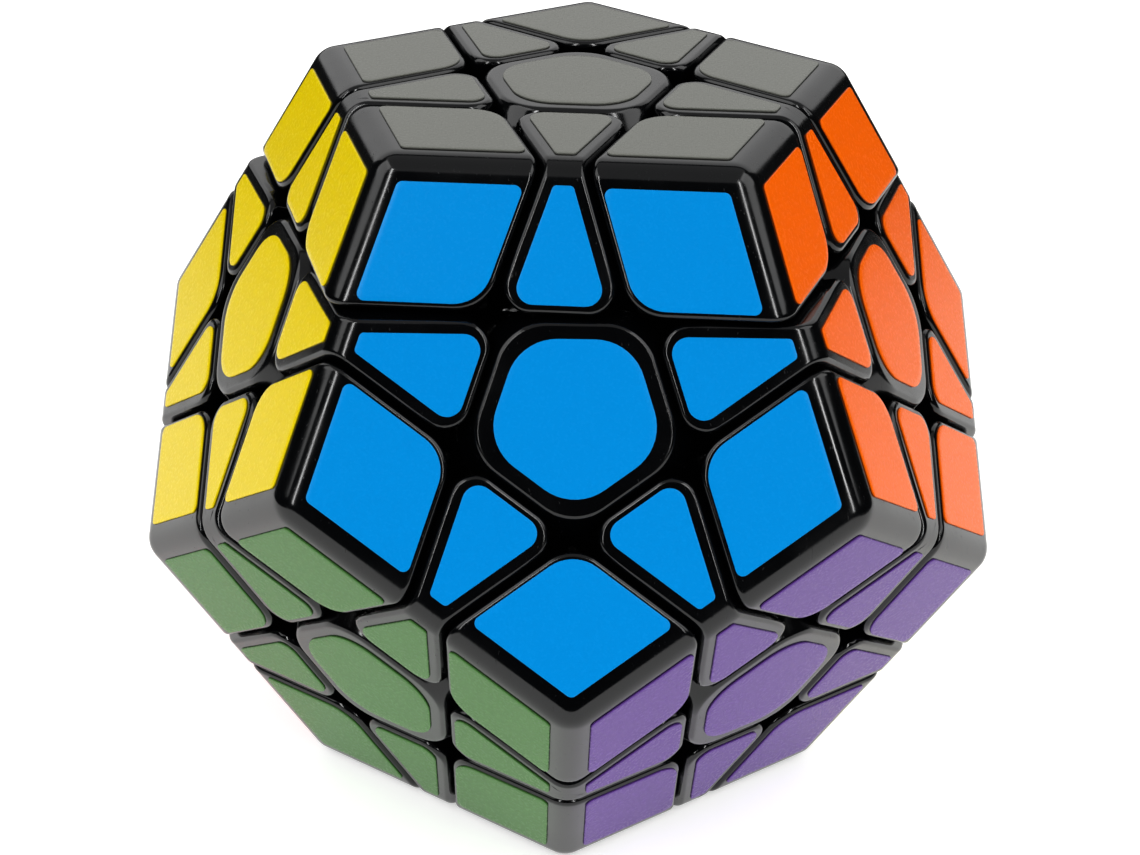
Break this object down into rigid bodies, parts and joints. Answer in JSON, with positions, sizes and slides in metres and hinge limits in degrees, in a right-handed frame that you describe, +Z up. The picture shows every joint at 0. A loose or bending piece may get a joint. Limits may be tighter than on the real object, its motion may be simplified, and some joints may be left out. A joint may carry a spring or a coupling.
{
  "type": "dodecahedron twisty puzzle",
  "caption": "Dodecahedron twisty puzzle with coloured pentagonal faces, each cut into a centre, edges and corners, whose layers turn about a sprung core.",
  "frame": {"origin": "middle of the box round the puzzle at the level it stands on", "axes": "+Z up through the gray face, which is the top; -Y towards the blue face, which is the front"},
  "size_m": [0.087, 0.0912, 0.075],
  "materials": {
    "black_plastic": "moulded, glossy",
    "core_plastic": "moulded, satin; the screws and springs in it are steel",
    "screw_steel": "zinc plated",
    "sticker_gray": "vinyl film, satin",
    "sticker_blue": "vinyl film, satin",
    "sticker_orange": "vinyl film, satin",
    "sticker_lime": "vinyl film, satin",
    "sticker_pink": "vinyl film, satin",
    "sticker_yellow": "vinyl film, satin",
    "sticker_purple": "vinyl film, satin",
    "sticker_cream": "vinyl film, satin",
    "sticker_aqua": "vinyl film, satin",
    "sticker_red": "vinyl film, satin",
    "sticker_green": "vinyl film, satin",
    "sticker_white": "vinyl film, satin"
  },
  "bodies": {
    "rest_of_puzzle": {"core_with_screws_and_springs": "core_plastic", "edge_white_aqua": "black_plastic", "edge_white_green": "black_plastic", "edge_blue_orange": "black_plastic", "edge_blue_yellow": "black_plastic", "edge_blue_green": "black_plastic", "edge_orange_cream": "black_plastic", "edge_lime_cream": "black_plastic", "edge_lime_aqua": "black_plastic", "edge_pink_yellow": "black_plastic", "edge_pink_aqua": "black_plastic", "edge_yellow_green": "black_plastic", "edge_cream_aqua": "black_plastic", "corner_blue_yellow_green": "black_plastic", "corner_lime_cream_aqua": "black_plastic", "corner_orange_lime_cream_with_edge_orange_lime": "black_plastic", "corner_lime_pink_aqua_with_edge_lime_pink": "black_plastic", "corner_white_cream_aqua_with_edge_white_cream": "black_plastic"},
    "gray_layer": {"edge_gray_blue": "black_plastic", "edge_gray_orange": "black_plastic", "edge_gray_lime": "black_plastic", "edge_gray_pink": "black_plastic", "edge_gray_yellow": "black_plastic", "corner_gray_blue_orange": "black_plastic", "corner_gray_blue_yellow": "black_plastic", "corner_gray_orange_lime": "black_plastic", "corner_gray_lime_pink": "black_plastic", "corner_gray_pink_yellow": "black_plastic"},
    "purple_layer": {"edge_white_purple": "black_plastic", "edge_blue_purple": "black_plastic", "edge_orange_purple": "black_plastic", "edge_purple_cream": "black_plastic", "edge_purple_green": "black_plastic", "corner_white_purple_cream": "black_plastic", "corner_white_purple_green": "black_plastic", "corner_blue_orange_purple": "black_plastic", "corner_blue_purple_green": "black_plastic", "corner_orange_purple_cream": "black_plastic"},
    "red_layer": {"edge_white_red": "black_plastic", "edge_pink_red": "black_plastic", "edge_yellow_red": "black_plastic", "edge_aqua_red": "black_plastic", "edge_red_green": "black_plastic", "corner_white_aqua_red": "black_plastic", "corner_white_red_green": "black_plastic", "corner_pink_yellow_red": "black_plastic", "corner_pink_aqua_red": "black_plastic", "corner_yellow_red_green": "black_plastic"},
    "centre_gray": {"centre_gray": "black_plastic"},
    "centre_white": {"centre_white": "black_plastic"},
    "centre_blue": {"centre_blue": "black_plastic"},
    "centre_orange": {"centre_orange": "black_plastic"},
    "centre_lime": {"centre_lime": "black_plastic"},
    "centre_pink": {"centre_pink": "black_plastic"},
    "centre_yellow": {"centre_yellow": "black_plastic"},
    "centre_purple": {"centre_purple": "black_plastic"},
    "centre_cream": {"centre_cream": "black_plastic"},
    "centre_aqua": {"centre_aqua": "black_plastic"},
    "centre_red": {"centre_red": "black_plastic"},
    "centre_green": {"centre_green": "black_plastic"}
  },
  "joints": [
    {"name": "gray_layer_turn", "type": "hinge", "parent": "rest_of_puzzle", "child": "gray_layer", "pos_m": [0, 0, 0.0375], "axis": [0, 0, 1], "continuous": true},
    {"name": "purple_layer_turn", "type": "hinge", "parent": "rest_of_puzzle", "child": "purple_layer", "pos_m": [0, 0, 0.0375], "axis": [0.5257, -0.7236, -0.4472], "continuous": true},
    {"name": "red_layer_turn", "type": "hinge", "parent": "rest_of_puzzle", "child": "red_layer", "pos_m": [0, 0, 0.0375], "axis": [-0.8507, 0.2764, -0.4472], "continuous": true},
    {"name": "centre_gray_lift", "type": "slide", "parent": "gray_layer", "child": "centre_gray", "axis": [0, 0, 1], "range_m": [0, 0.0008], "stiffness_N_per_m": 900, "springref_m": -0.0015},
    {"name": "centre_white_lift", "type": "slide", "parent": "rest_of_puzzle", "child": "centre_white", "axis": [0, 0, -1], "range_m": [0, 0.0008], "stiffness_N_per_m": 900, "springref_m": -0.0015},
    {"name": "centre_blue_lift", "type": "slide", "parent": "rest_of_puzzle", "child": "centre_blue", "axis": [0, -0.8944, 0.4472], "range_m": [0, 0.0008], "stiffness_N_per_m": 900, "springref_m": -0.0015},
    {"name": "centre_orange_lift", "type": "slide", "parent": "rest_of_puzzle", "child": "centre_orange", "axis": [0.8507, -0.2764, 0.4472], "range_m": [0, 0.0008], "stiffness_N_per_m": 900, "springref_m": -0.0015},
    {"name": "centre_lime_lift", "type": "slide", "parent": "rest_of_puzzle", "child": "centre_lime", "axis": [0.5257, 0.7236, 0.4472], "range_m": [0, 0.0008], "stiffness_N_per_m": 900, "springref_m": -0.0015},
    {"name": "centre_pink_lift", "type": "slide", "parent": "rest_of_puzzle", "child": "centre_pink", "axis": [-0.5257, 0.7236, 0.4472], "range_m": [0, 0.0008], "stiffness_N_per_m": 900, "springref_m": -0.0015},
    {"name": "centre_yellow_lift", "type": "slide", "parent": "rest_of_puzzle", "child": "centre_yellow", "axis": [-0.8507, -0.2764, 0.4472], "range_m": [0, 0.0008], "stiffness_N_per_m": 900, "springref_m": -0.0015},
    {"name": "centre_purple_lift", "type": "slide", "parent": "purple_layer", "child": "centre_purple", "axis": [0.5257, -0.7236, -0.4472], "range_m": [0, 0.0008], "stiffness_N_per_m": 900, "springref_m": -0.0015},
    {"name": "centre_cream_lift", "type": "slide", "parent": "rest_of_puzzle", "child": "centre_cream", "axis": [0.8507, 0.2764, -0.4472], "range_m": [0, 0.0008], "stiffness_N_per_m": 900, "springref_m": -0.0015},
    {"name": "centre_aqua_lift", "type": "slide", "parent": "rest_of_puzzle", "child": "centre_aqua", "axis": [0, 0.8944, -0.4472], "range_m": [0, 0.0008], "stiffness_N_per_m": 900, "springref_m": -0.0015},
    {"name": "centre_red_lift", "type": "slide", "parent": "red_layer", "child": "centre_red", "axis": [-0.8507, 0.2764, -0.4472], "range_m": [0, 0.0008], "stiffness_N_per_m": 900, "springref_m": -0.0015},
    {"name": "centre_green_lift", "type": "slide", "parent": "rest_of_puzzle", "child": "centre_green", "axis": [-0.5257, -0.7236, -0.4472], "range_m": [0, 0.0008], "stiffness_N_per_m": 900, "springref_m": -0.0015}
  ]
}
